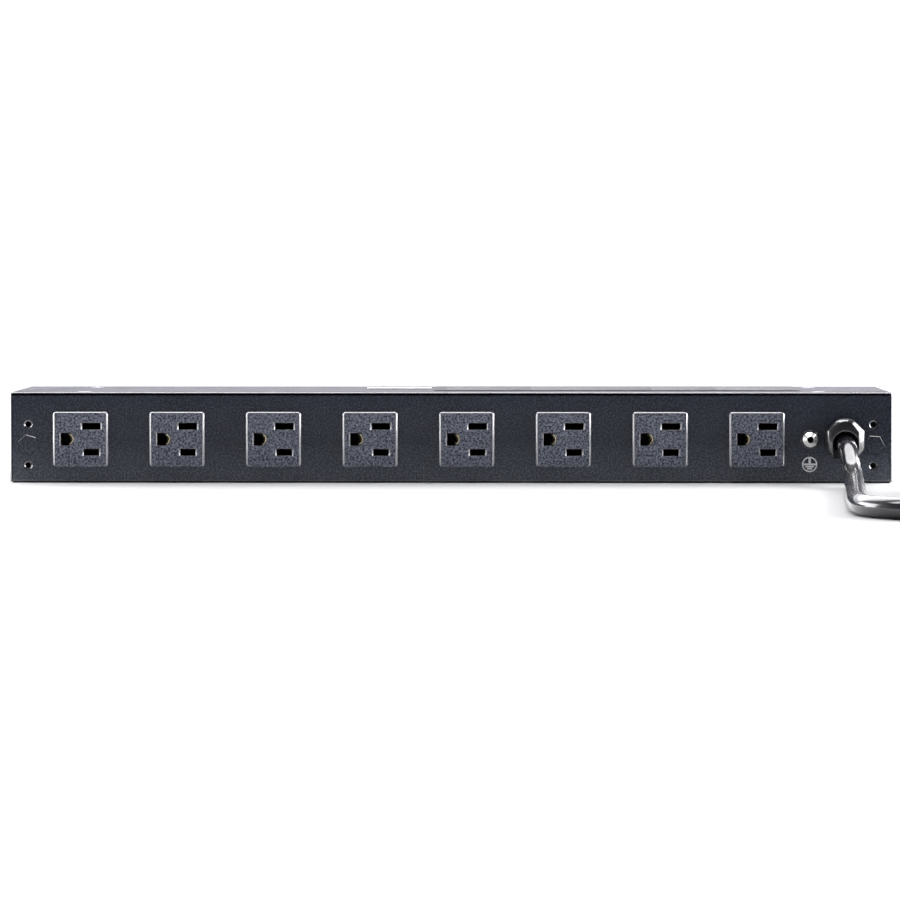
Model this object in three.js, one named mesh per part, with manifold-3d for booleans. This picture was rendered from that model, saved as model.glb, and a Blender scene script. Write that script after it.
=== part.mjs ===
// 1U rack power strip: a folded steel casing with eight outlets, a grounding post and a
// power cord on its rear panel, and a rocker switch, a reset breaker and two outlets on
// its front panel. Millimetres. +X along the strip, +Y from the rear panel to the front
// panel, +Z up. The origin is under the middle of the casing, on the surface it stands on.
import * as THREE from 'three';
import { mergeVertices } from 'three/addons/utils/BufferGeometryUtils.js';
import Module from 'manifold-3d';

const wasm = await Module();
wasm.setup();

// ---------------------------------------------------------------- driving dimensions
const width = 431;             // casing, between the rack rails
const height = 44.2;           // casing, one rack unit less its clearance
const depth = 90;              // rear panel to front panel, outside
const chassisSheet = 1.2;
const coverSheet = 1.0;
const gap = 0.3;               // play between neighbouring pieces
const faceY = -depth / 2;      // outside of the rear panel; the front panel mirrors it
const innerY = faceY + chassisSheet;
const outletCount = 8;
const outletPitch = 47.17;
const firstOutletX = -180.85;
const outletZ = 21.3;
const frontOutletX = [-150, -150 + outletPitch];
const outletFace = 27;         // square face plate
const outletProud = 2.2;
const outletBody = 25.2;       // square body behind the plate
const outletBack = -27;        // where the body ends inside the casing
const slotX = 5.15;            // blade slots, from the middle of the face
const slotRise = 6.35;         // blade slots, above and below the middle
const slotHeight = 3.2;
const neutralSlot = 8.5;
const lineSlot = 7.1;
const groundX = slotX - 11.9;  // ground hole
const groundWide = 6.6;
const groundHigh = 5.8;
const slotWall = 4;            // depth of the narrow part of each slot
const barFace = -25.4;         // bus bars: the side that faces the inside of the casing
const barThick = 0.8;
const endHoleX = 206.2;        // two tapped holes at each end of the rear panel
const endHoleZ = [8.5, 28.5];
const clinchX = 206.6;         // flush hexagon standoff at each end
const clinchZ = 18.5;
const groundPost = { x: 175.2, z: 21.3 };
const relief = { x: 191.8, z: 21.5 };
const cordRadius = 4.7;
const cordExitZ = 19.7;
const switchX = 160;
const breakerX = 118;
const frontMiddleZ = 22;
const rockerTilt = THREE.MathUtils.degToRad(11);
const leverTilt = THREE.MathUtils.degToRad(-6.6);
const topScrews = { x: 180, y: 33 };
const sideScrews = { y: 25, z: 12 };

// ---------------------------------------------------------------- finishes
const finishes = {
  casing: { color: 0x32343b, roughness: 0.5, metalness: 0.2 },
  outlet: { color: 0x535762, roughness: 0.62, metalness: 0 },
  gloss: { color: 0x15161b, roughness: 0.22, metalness: 0 },
  cord: { color: 0x17181d, roughness: 0.28, metalness: 0 },
  brass: { color: 0xb08d4a, roughness: 0.35, metalness: 1 },
  nickel: { color: 0xc9c8c4, roughness: 0.25, metalness: 1 },
  screw: { color: 0x9a9aa0, roughness: 0.4, metalness: 1 },
  rocker: { color: 0x1c1d20, roughness: 0.35, metalness: 0 },
  reset: { color: 0xb02a20, roughness: 0.4, metalness: 0 },
  white: { color: 0xe8e8e6, roughness: 0.6, metalness: 0 },
  green: { color: 0x2c7a3d, roughness: 0.5, metalness: 0 },
  fibre: { color: 0x8a8478, roughness: 0.8, metalness: 0 },
};

const strip = new THREE.Group();
const frontPanel = new THREE.Group();   // built like the rear panel, then turned about
frontPanel.rotation.z = Math.PI;
strip.add(frontPanel);

function piece(name, geometry, finish, home = strip) {
  const mesh = new THREE.Mesh(geometry, new THREE.MeshStandardMaterial(finishes[finish]));
  mesh.name = name;
  home.add(mesh);
  return mesh;
}

// ---------------------------------------------------------------- solids and outlines
function solidOf(geometry) {
  const bare = geometry.clone();
  bare.deleteAttribute('normal');
  bare.deleteAttribute('uv');
  const merged = mergeVertices(bare, 1e-4);
  return new wasm.Manifold(new wasm.Mesh({
    numProp: 3,
    vertProperties: new Float32Array(merged.attributes.position.array),
    triVerts: new Uint32Array(merged.index.array),
  }));
}

function combine(first, added, removed = []) {
  let solid = solidOf(first);
  for (const geometry of added) solid = solid.add(solidOf(geometry));
  for (const geometry of removed) solid = solid.subtract(solidOf(geometry));
  const mesh = solid.getMesh();
  const geometry = new THREE.BufferGeometry();
  geometry.setAttribute('position', new THREE.BufferAttribute(mesh.vertProperties, 3));
  geometry.setIndex(new THREE.BufferAttribute(mesh.triVerts, 1));
  geometry.computeVertexNormals();
  return geometry;
}

function outline(points) {
  return new THREE.Shape(points.map(([across, up]) => new THREE.Vector2(across, up)));
}

function rectangle(across, up, middle = [0, 0]) {
  const [x, z] = middle;
  const [a, b] = [across / 2, up / 2];
  return outline([[x - a, z - b], [x + a, z - b], [x + a, z + b], [x - a, z + b]]);
}

function polygon(sides, radius, middle = [0, 0], turn = 0) {
  const corners = Array.from({ length: sides }, (_, i) => turn + (i * 2 * Math.PI) / sides);
  return outline(corners.map((a) => [
    middle[0] + radius * Math.cos(a),
    middle[1] + radius * Math.sin(a),
  ]));
}

function extrude(shape, length, curveSegments = 4) {
  return new THREE.ExtrudeGeometry(shape, { depth: length, bevelEnabled: false, curveSegments });
}

// An (x, z) outline drawn on the panel and pulled outwards, from y = inside to y = outside.
function slab(shape, inside, outside, curveSegments) {
  const geometry = extrude(shape, inside - outside, curveSegments);
  geometry.rotateX(Math.PI / 2);
  return geometry.translate(0, inside, 0);
}

// An (x, y) outline raised from z = low to z = high.
function plate(shape, low, high, curveSegments) {
  return extrude(shape, high - low, curveSegments).translate(0, 0, low);
}

// A (y, z) outline drawn along the strip, centred on x = 0.
function rail(shape, length, curveSegments) {
  const geometry = extrude(shape, length, curveSegments);
  const turned = new THREE.Matrix4().makeBasis(
    new THREE.Vector3(0, 1, 0),
    new THREE.Vector3(0, 0, 1),
    new THREE.Vector3(1, 0, 0),
  );
  return geometry.applyMatrix4(turned).translate(-length / 2, 0, 0);
}

function block(low, high) {
  const size = high.map((value, i) => value - low[i]);
  const middle = high.map((value, i) => (value + low[i]) / 2);
  return new THREE.BoxGeometry(...size).translate(...middle);
}

function tube(points, radius, sides, steps) {
  const path = new THREE.CatmullRomCurve3(points.map((p) => new THREE.Vector3(...p)));
  return new THREE.ExtrudeGeometry(polygon(sides, radius), {
    steps,
    extrudePath: path,
    bevelEnabled: false,
  });
}

// ---------------------------------------------------------------- casing
const outletXs = Array.from({ length: outletCount }, (_, i) => firstOutletX + i * outletPitch);
const cutout = outletBody + 2 * gap;
const hexAcross = 9.0;

function reliefBarrel(radius) {
  return polygon(16, radius, [relief.x, relief.z], Math.PI / 16);
}

function screwProfile(headRadius, shankRadius, bite, reach) {
  const points = [[0, 0], [headRadius, 0], [shankRadius, -bite], [shankRadius, -reach], [0, -reach]];
  return points.map(([r, y]) => new THREE.Vector2(r, y)).reverse();
}

const countersunk = new THREE.LatheGeometry(screwProfile(3.0, 1.5, 1.2, 7), 10);
const countersink = new THREE.LatheGeometry(screwProfile(3.4, 1.9, 1.2, 9), 10);

// Each screw's seat: the turn and the place that stand it on the cover.
function screwSeats() {
  const seats = [];
  for (const x of [-topScrews.x, topScrews.x]) {
    for (const y of [-topScrews.y, topScrews.y]) {
      seats.push({
        name: `cover_screw_${x < 0 ? 'left' : 'right'}_${y < 0 ? 'rear' : 'front'}`,
        turn: [Math.PI / 2, 0, 0],
        place: [x, y, height],
      });
    }
  }
  for (const side of [-1, 1]) {
    for (const y of [-sideScrews.y, sideScrews.y]) {
      seats.push({
        name: `side_screw_${side < 0 ? 'left' : 'right'}_${y < 0 ? 'rear' : 'front'}`,
        turn: [0, 0, -side * Math.PI / 2],
        place: [side * width / 2, y, sideScrews.z],
      });
    }
  }
  return seats;
}

function seated(geometry, seat) {
  const turned = geometry.clone();
  turned.rotateX(seat.turn[0]);
  turned.rotateZ(seat.turn[2]);
  return turned.translate(...seat.place);
}

const flangeTop = height - coverSheet - gap;
const flangeReach = 16;
const chassisLength = width - 2 * coverSheet - 2 * gap;

function buildChassis() {
  const bend = 1.5;
  const [y, t] = [-faceY, chassisSheet];
  const section = new THREE.Shape();
  section.moveTo(-y + bend, 0);
  section.lineTo(y - bend, 0);
  section.absarc(y - bend, bend, bend, -Math.PI / 2, 0, false);
  section.lineTo(y, flangeTop);
  section.lineTo(y - flangeReach, flangeTop);
  section.lineTo(y - flangeReach, flangeTop - t);
  section.lineTo(y - t, flangeTop - t);
  section.lineTo(y - t, t);
  section.lineTo(-y + t, t);
  section.lineTo(-y + t, flangeTop - t);
  section.lineTo(-y + flangeReach, flangeTop - t);
  section.lineTo(-y + flangeReach, flangeTop);
  section.lineTo(-y, flangeTop);
  section.lineTo(-y, bend);
  section.absarc(-y + bend, bend, bend, Math.PI, Math.PI * 1.5, false);

  const end = chassisLength / 2;
  const tabs = [-1, 1].map((side) => block(
    [Math.min(side * end, side * (end - t)), -40, 0.4],
    [Math.max(side * end, side * (end - t)), 40, 22],
  ));

  const through = [faceY - 1, innerY + 1];
  const cut = (shape) => slab(shape, through[1], through[0]);
  const frontCut = (shape) => slab(shape, -faceY + 1, -innerY - 1);
  const holes = [
    ...outletXs.map((x) => cut(rectangle(cutout, cutout, [x, outletZ]))),
    ...frontOutletX.map((x) => frontCut(rectangle(cutout, cutout, [x, outletZ]))),
    frontCut(rectangle(30, 22, [switchX, frontMiddleZ])),
    frontCut(polygon(14, 5.9, [breakerX, frontMiddleZ])),
    cut(reliefBarrel(8.1)),
    cut(polygon(12, 2.6, [groundPost.x, groundPost.z])),
  ];
  for (const side of [-1, 1]) {
    for (const z of endHoleZ) holes.push(cut(polygon(12, 1.5, [side * endHoleX, z])));
    const turn = side < 0 ? -16 : 0;
    const shape = polygon(
      6,
      (hexAcross / 2 + gap) / Math.cos(Math.PI / 6),
      [side * clinchX, clinchZ],
      THREE.MathUtils.degToRad(turn),
    );
    holes.push(cut(shape));
  }
  const shank = new THREE.CylinderGeometry(1.9, 1.9, 12, 10);
  for (const seat of screwSeats()) holes.push(seated(shank, seat));
  piece('base_chassis', combine(rail(section, chassisLength, 3), tabs, holes), 'casing');
}

function buildCover() {
  const [x, t, low, bend] = [width / 2, coverSheet, 1.7, 1.0];
  const section = new THREE.Shape();
  section.moveTo(x, low);
  section.lineTo(x, height - bend);
  section.absarc(x - bend, height - bend, bend, 0, Math.PI / 2, false);
  section.lineTo(-x + bend, height);
  section.absarc(-x + bend, height - bend, bend, Math.PI / 2, Math.PI, false);
  section.lineTo(-x, low);
  section.lineTo(-x + t, low);
  section.lineTo(-x + t, height - t);
  section.lineTo(x - t, height - t);
  section.lineTo(x - t, low);
  const seats = screwSeats().map((seat) => seated(countersink, seat));
  piece('top_cover', combine(slab(section, -faceY, faceY, 3), [], seats), 'casing');
  for (const seat of screwSeats()) {
    const screw = piece(seat.name, countersunk, 'screw');
    screw.rotation.set(...seat.turn);
    screw.position.set(...seat.place);
  }
}

function buildClinchStandoffs() {
  for (const side of [-1, 1]) {
    const turn = THREE.MathUtils.degToRad(side < 0 ? -16 : 0);
    const head = slab(polygon(6, hexAcross / 2 / Math.cos(Math.PI / 6), [0, 0], turn), 1.1, 0);
    const barrel = slab(polygon(12, 3.5), 18, 1);
    const standoff = combine(head, [barrel]);
    const mesh = piece(`clinch_standoff_${side < 0 ? 'left' : 'right'}`, standoff, 'casing');
    mesh.position.set(side * clinchX, faceY + 0.05, clinchZ);
  }
}

function buildLabels() {
  const [low, high] = [height + gap, height + gap + 0.15];
  const sheets = {
    blank_label: { x: [-42.6, -10.3], y: [5, 33], finish: 'white' },
    rating_label: { x: [-8.5, 172], y: [-25, 38], finish: 'casing' },
  };
  for (const [name, { x, y, finish }] of Object.entries(sheets)) {
    piece(name, block([x[0], y[0], low], [x[1], y[1], high]), finish);
  }
}

// ---------------------------------------------------------------- outlets and bus bars
function outletGeometry() {
  const front = -outletProud;                 // y = 0 is the outside of the panel here
  const back = outletBack - faceY;
  const face = slab(rectangle(outletFace, outletFace), -gap, front);
  const body = slab(rectangle(outletBody, outletBody), back, -gap - 0.1);
  const past = front - 1;
  const chamber = front + slotWall;
  const dee = new THREE.Shape();
  const round = groundHigh / 2;
  dee.moveTo(groundX - groundWide / 2, -round);
  dee.lineTo(groundX + groundWide / 2 - round, -round);
  dee.absarc(groundX + groundWide / 2 - round, 0, round, -Math.PI / 2, Math.PI / 2, false);
  dee.lineTo(groundX - groundWide / 2, round);
  const openings = [
    slab(rectangle(neutralSlot, slotHeight, [slotX, slotRise]), chamber + 1, past),
    slab(rectangle(lineSlot, slotHeight, [slotX, -slotRise]), chamber + 1, past),
    slab(dee, chamber + 1, past, 6),
    slab(rectangle(10, 5, [slotX, slotRise]), back + 1, chamber),
    slab(rectangle(10, 5, [slotX, -slotRise]), back + 1, chamber),
    slab(rectangle(8.4, 6.6, [groundX, 0]), back + 1, chamber),
  ];
  return combine(face, [body], openings);
}

function buildOutlets() {
  const geometry = outletGeometry();
  outletXs.forEach((x, i) => {
    piece(`outlet_${i + 1}`, geometry, 'outlet').position.set(x, faceY, outletZ);
  });
  frontOutletX.forEach((x, i) => {
    const outlet = piece(`front_outlet_${i + 1}`, geometry, 'outlet', frontPanel);
    outlet.position.set(-x, faceY, outletZ);
  });
}

// One bar behind a row of outlets, with a pair of contact leaves for each.
function busBar(xs, from, to, row) {
  const barBack = barFace - barThick;
  const bar = block([from, barBack, row.z - 1.9], [to, barFace, row.z + 1.9]);
  const [tip, leaf] = [-41, 0.5];
  const leaves = [];
  for (const x of xs) {
    for (const side of [-1, 1]) {
      const offset = side * row.spread;
      leaves.push(row.upright
        ? block([x + row.x + offset - leaf / 2, tip, row.z - 1.7],
          [x + row.x + offset + leaf / 2, barBack + 0.1, row.z + 1.7])
        : block([x + row.x - 3, tip, row.z + offset - leaf / 2],
          [x + row.x + 3, barBack + 0.1, row.z + offset + leaf / 2]));
    }
  }
  return combine(bar, leaves);
}

const rows = {
  neutral: { x: slotX, z: outletZ + slotRise, spread: 1.5, upright: false },
  ground: { x: groundX, z: outletZ, spread: 2.7, upright: true },
  line: { x: slotX, z: outletZ - slotRise, spread: 1.5, upright: false },
};
const jumperX = { neutral: -82, ground: -76, line: -70 };

function buildBusBars() {
  for (const [name, row] of Object.entries(rows)) {
    piece(`bus_${name}`, busBar(outletXs, -195, 160, row), 'brass');
    const mirrored = frontOutletX.map((x) => -x);
    piece(`front_bus_${name}`, busBar(mirrored, 64, 165, row), 'brass', frontPanel);
    const jumper = new THREE.CylinderGeometry(1.5, 1.5, 2 * (-barFace - gap), 8);
    const wire = piece(`jumper_${name}`, jumper, name === 'ground' ? 'green' : 'white');
    wire.position.set(jumperX[name], 0, row.z);
  }
  const holes = Object.entries(rows).map(([name, row]) => (
    slab(polygon(8, 2.1, [jumperX[name], row.z]), -21, -26)));
  const sheet = block([-198, -23.6, 9], [138, -23, 33]);
  piece('insulation_sheet', combine(sheet, [], holes), 'fibre');
}

// ---------------------------------------------------------------- grounding post
function buildGroundPost() {
  const { x, z } = groundPost;
  const ring = (outer, inner, inside, outside, sides = 16) => combine(
    slab(polygon(sides, outer), inside, outside),
    [],
    [slab(polygon(12, inner), inside + 1, outside - 1)],
  );
  const place = (name, geometry) => {
    piece(name, geometry, 'nickel').position.set(x, faceY, z);
  };
  place('ground_washer', ring(4.6, 2.6, -gap, -gap - 0.8));
  const head = slab(polygon(16, 3.75), -1.4, -4.8);
  const shank = slab(polygon(12, 2.2), 9, -1.5);
  const bore = slab(polygon(12, 1.45), 2, -6);
  place('ground_post', combine(head, [shank], [bore]));
  place('ground_nut', ring(4.1, 2.6, chassisSheet + gap + 3, chassisSheet + gap, 6));
}

// ---------------------------------------------------------------- strain relief
function buildStrainRelief() {
  const [flat, top, leg] = [9.6, 10.2, -9.6];
  const hood = new THREE.Shape();
  hood.moveTo(5.7, leg);
  hood.lineTo(flat, -4.6);
  hood.lineTo(flat, 4.5);
  hood.absarc(0, 0, top, THREE.MathUtils.degToRad(63), THREE.MathUtils.degToRad(117), false);
  hood.lineTo(-flat, 4.5);
  hood.lineTo(-flat, -4.6);
  hood.lineTo(-5.7, leg);
  const arch = 5.9;
  const archZ = cordExitZ - relief.z - 0.3;
  const channel = new THREE.Shape();
  channel.moveTo(-arch, leg - 2);
  channel.lineTo(arch, leg - 2);
  channel.lineTo(arch, archZ);
  channel.absarc(0, archZ, arch, 0, Math.PI, false);
  const [reach, flange] = [-10.6, -1.8];
  const bore = polygon(14, cordRadius + gap + 0.1, [0, cordExitZ - relief.z]);
  const geometry = combine(
    slab(hood, -gap, reach, 10),
    [slab(polygon(16, 7.8, [0, 0], Math.PI / 16), 9, -gap - 0.1)],
    [slab(channel, flange, reach - 1, 8), slab(bore, 10, reach - 1)],
  );
  piece('strain_relief', geometry, 'gloss').position.set(relief.x, faceY, relief.z);
}

// ---------------------------------------------------------------- front controls
function buildSwitch() {
  const home = new THREE.Group();
  home.position.set(-switchX, faceY, frontMiddleZ);
  frontPanel.add(home);

  const [pivotY, leverY] = [3, 12.5];          // measured inwards from the panel
  const bezel = slab(rectangle(32, 25), -gap, -2.3);
  const body = slab(rectangle(29.4, 21.4), 20, -gap - 0.1);
  const well = slab(rectangle(28.4, 17), 16, -3.3);
  const pivotBore = plate(polygon(12, 1.85, [0, pivotY]), -12, 12);
  const tabs = { feed: 0, load: -9 };
  const slots = Object.values(tabs).map((x) => block([x - 1.3, 15, -3.3], [x + 1.3, 21, 3.3]));
  piece('rocker_housing', combine(bezel, [body], [well, pivotBore, ...slots]), 'rocker', home);

  const section = outline([
    [-12.4, -4.5], [0, -2], [12.4, -4.5], [12, 4], [5, 7], [0, 8], [-5, 7], [-12, 4],
  ].reverse().map(([x, y]) => [x, y - pivotY]));
  const paddle = combine(
    plate(section, -8.1, 8.1),
    [plate(polygon(12, 1.5), -9.9, 9.9)],
  );
  const rocker = piece('rocker', paddle, 'rocker', home);
  rocker.position.set(0, pivotY, 0);
  rocker.rotation.z = rockerTilt;

  const lever = piece('contact_lever', block([-9.6, -0.4, -2.5], [9.6, 0.4, 2.5]), 'brass', home);
  lever.position.set(0, leverY, 0);
  lever.rotation.z = leverTilt;

  piece('switch_tab_feed', block([-1, leverY + 0.75, -3], [1, 28, 3]), 'brass', home);
  piece('switch_tab_load', block([-10, leverY + 2, -3], [-8, 28, 3]), 'brass', home);
}

function buildBreaker() {
  const home = new THREE.Group();
  home.position.set(-breakerX, faceY, frontMiddleZ);
  frontPanel.add(home);
  const bushing = -6.6;
  const lugs = [-6, 6].map((z) => block([-3, 30, z - 2.5], [3, 37, z + 2.5]));
  const body = combine(
    block([-7.5, chassisSheet + gap, -12], [7.5, 31, 12]),
    [slab(polygon(14, 5.5), 2, bushing), ...lugs],
    [slab(polygon(14, 3.7), 6, bushing - 1)],
  );
  piece('breaker_body', body, 'rocker', home);
  const collar = combine(
    slab(polygon(6, 8.1), -gap, -3),
    [],
    [slab(polygon(14, 5.9), 1, -4)],
  );
  piece('breaker_collar', collar, 'nickel', home);
  piece('breaker_button', slab(polygon(14, 3.3), 2.5, -10.3), 'reset', home);
}

// ---------------------------------------------------------------- wiring
function buildWires() {
  const start = -33.7;                         // the cord's jacket ends just outside it
  const x = relief.x;
  const z = cordExitZ;
  const barEnd = barFace + gap;
  const ends = {
    feed: [switchX, 16.4, frontMiddleZ],
    load: [switchX + 9, 16.4, frontMiddleZ],
  };
  // A straight start or finish, so that a wire meets its terminal squarely.
  const straight = ([px, py, pz], along) => [[px, py, pz], [px, py + along, pz]];
  const routes = {
    wire_line_in: ['gloss', [...straight([x, start, z + 2.3], 4), [x - 1, -24, z + 5],
      [176, -9, 33], [142, -3, 34], [124, -1, 31], [breakerX, 4, 28], [breakerX, 7.6, 28]]],
    wire_line_switched: ['gloss', [...straight([breakerX, 7.6, 16], -4), [121, -1, 13],
      [138, -6, 13], [156, 3, 19], ...straight(ends.feed, -4).reverse()]],
    wire_line_out: ['gloss', [...straight(ends.load, -4), [171, 6, 18], [170, -8, 13],
      [160, -17, 13.6], ...straight([156, barEnd, rows.line.z], 3).reverse()]],
    wire_neutral: ['white', [...straight([x - 2.2, start, z - 1.3], 4), [186, -22, 20],
      [177, -14, 26], [163, -15, 27.2], ...straight([156, barEnd, rows.neutral.z], 3).reverse()]],
    wire_ground: ['green', [...straight([x + 2.2, start, z - 1.3], 4), [193, -20, 12],
      [184, -10, 6], [164, -5, 5.4], [150, -9, 8], [146, -17, 18],
      ...straight([146, barEnd, rows.ground.z], 3).reverse()]],
  };
  for (const [name, [finish, points]] of Object.entries(routes)) {
    piece(name, tube(points, 1.5, 8, 18), finish);
  }
}

// ---------------------------------------------------------------- power cord
// The cord drops from the strain relief, runs forward on the surface and turns towards
// the hank, where its length is folded up.
const cordRoute = [
  [191.8, -34, cordExitZ], [191.8, -46, cordExitZ], [191.9, -57, 19.1], [192, -68, 16.5],
  [192.2, -79, 12], [192.2, -90, 7.6], [191.8, -101, 5.3], [191.1, -113, 4.75],
  [189.6, -133, 4.7], [187.6, -160, 4.7], [185, -195, 4.7], [182.3, -230, 4.7],
  [180.2, -258, 4.7], [179, -278, 4.7], [179.6, -301.3, 4.7], [184.6, -315, 4.7],
  [194, -326.2, 4.7], [206.6, -333.5, 4.7], [221, -336, 4.7], [243, -336, 4.9],
  [258, -336, 5.2],
];
const hank = {
  x: 279,                      // its middle line runs along y
  run: 160,                    // straight part of each turn
  inner: 30,                   // bend of its innermost turn
  pitch: 9.7,
  turns: 3,                    // side by side
  layers: 3,
  rise: 9.6,
  lift: 0.8,                   // a tie passes under it
};
hank.outer = hank.inner + (hank.turns - 1) * hank.pitch;
hank.low = -336 + hank.outer;
hank.high = hank.low + hank.run;
hank.top = hank.lift + 2 * cordRadius + (hank.layers - 1) * hank.rise;
const plugZ = 12;

function racetrack(radius) {
  const shape = new THREE.Shape();
  shape.absarc(hank.x, hank.low, radius, Math.PI, 2 * Math.PI, false);
  shape.absarc(hank.x, hank.high, radius, 0, Math.PI, false);
  return shape;
}

function buildCord() {
  const outside = plate(racetrack(hank.outer + cordRadius), hank.lift, hank.top, 12);
  const middle = plate(racetrack(hank.inner - cordRadius), -1, hank.top + 1, 12);
  piece('cord_hank', combine(outside, [], [middle]), 'cord');

  const outsideRoom = plate(racetrack(hank.outer + cordRadius + gap), -1, hank.top + 1, 12);
  const lead = tube(cordRoute, cordRadius, 10, 36);
  piece('power_cord', combine(lead, [], [outsideRoom]), 'cord');

  const leaving = hank.inner + hank.pitch / 2;
  const tailEnd = hank.high - 70;
  const tail = tube([
    [hank.x - leaving, hank.high, 24.7],
    [hank.x - leaving + 3, hank.high - 14, 24.4],
    [hank.x - leaving / 2, hank.high - 32, 20],
    [hank.x - 3, hank.high - 50, 13.6],
    [hank.x, hank.high - 62, plugZ],
    [hank.x, tailEnd, plugZ],
  ], cordRadius, 10, 14);
  const hole = plate(racetrack(hank.inner - cordRadius - gap), -1, hank.top + 20, 12);
  const ring = combine(block(
    [hank.x - 100, hank.low - 100, -2],
    [hank.x + 100, hank.high + 100, hank.top + 10],
  ), [], [hole]);
  piece('cord_tail', combine(tail, [], [ring]), 'cord');
  buildPlug(tailEnd - gap);
}

function buildPlug(backY) {
  const home = new THREE.Group();
  home.position.set(hank.x, backY, plugZ);
  strip.add(home);
  const [taper, length] = [20, 32];
  const sleeve = new THREE.CylinderGeometry(5.4, 8.2, taper, 14).translate(0, -taper / 2, 0);
  const body = new THREE.Shape();
  body.absarc(8.6, -6.2, 4.4, -Math.PI / 2, 0, false);
  body.absarc(8.6, 6.2, 4.4, 0, Math.PI / 2, false);
  body.absarc(-8.6, 6.2, 4.4, Math.PI / 2, Math.PI, false);
  body.absarc(-8.6, -6.2, 4.4, Math.PI, Math.PI * 1.5, false);
  const grip = slab(body, -taper + 0.5, -taper - length, 3);
  piece('plug_body', combine(sleeve, [grip]), 'cord', home);
  const tip = -taper - length - gap;
  const blade = (name, x) => {
    piece(name, block([x - 0.75, tip - 15.9, -4.2], [x + 0.75, tip, 2.1]), 'brass', home);
  };
  blade('plug_blade_line', -slotRise);
  blade('plug_blade_neutral', slotRise);
  const pin = new THREE.CylinderGeometry(2.4, 2.4, 18.3, 12).translate(0, tip - 9.15, 7);
  piece('plug_ground_pin', pin, 'brass', home);
}

buildChassis();
buildCover();
buildClinchStandoffs();
buildLabels();
buildOutlets();
buildBusBars();
buildGroundPost();
buildStrainRelief();
buildSwitch();
buildBreaker();
buildWires();
buildCord();

export default strip;
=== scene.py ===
"""Rack power strip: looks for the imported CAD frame. Modelling is in millimetres, in the frame's axes."""
import math

import bmesh
import bpy
from mathutils import Matrix, Vector


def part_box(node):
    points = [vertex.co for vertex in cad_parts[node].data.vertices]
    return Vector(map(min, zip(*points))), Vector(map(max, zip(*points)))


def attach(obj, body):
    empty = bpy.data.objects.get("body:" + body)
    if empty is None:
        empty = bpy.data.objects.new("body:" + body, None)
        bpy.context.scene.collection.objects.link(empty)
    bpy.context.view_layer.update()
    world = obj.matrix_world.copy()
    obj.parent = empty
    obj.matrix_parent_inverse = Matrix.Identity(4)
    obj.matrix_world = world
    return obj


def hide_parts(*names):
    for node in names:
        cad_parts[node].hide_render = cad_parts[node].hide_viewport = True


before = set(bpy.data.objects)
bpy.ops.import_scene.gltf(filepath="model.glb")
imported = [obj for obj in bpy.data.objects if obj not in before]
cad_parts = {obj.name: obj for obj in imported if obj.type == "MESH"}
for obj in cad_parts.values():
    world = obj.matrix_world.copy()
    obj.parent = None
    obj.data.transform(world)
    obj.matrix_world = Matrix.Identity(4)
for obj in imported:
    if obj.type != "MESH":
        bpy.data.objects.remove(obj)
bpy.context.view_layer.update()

MM = 0.001


# ---- places, from the frame
def box_mm(node):
    low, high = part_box(node)
    return Vector(low) / MM, Vector(high) / MM


def middle(node):
    low, high = box_mm(node)
    return (low + high) / 2


chassis_low, chassis_high = box_mm("base_chassis")
cover_high = box_mm("top_cover")[1]
REAR_Y, FRONT_Y = chassis_low.y, chassis_high.y
SHEET = 1.2
COVER_SHEET = 0.65
COVER_FOOT = 0.5                  # the sides' lower edges above the floor
OUTLET_Z = middle("outlet_1").z
RELIEF_Z = OUTLET_Z + 0.2
CORD_D = 9.4
EXIT_Z = box_mm("power_cord")[1].z - CORD_D / 2
REAR_OUTLETS = [f"outlet_{i + 1}" for i in range(8)]
FRONT_OUTLETS = [f"front_outlet_{i + 1}" for i in range(2)]


def linked(name, data):
    """A new object in the scene."""
    thing = bpy.data.objects.new(name, data)
    bpy.context.scene.collection.objects.link(thing)
    return thing


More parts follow.
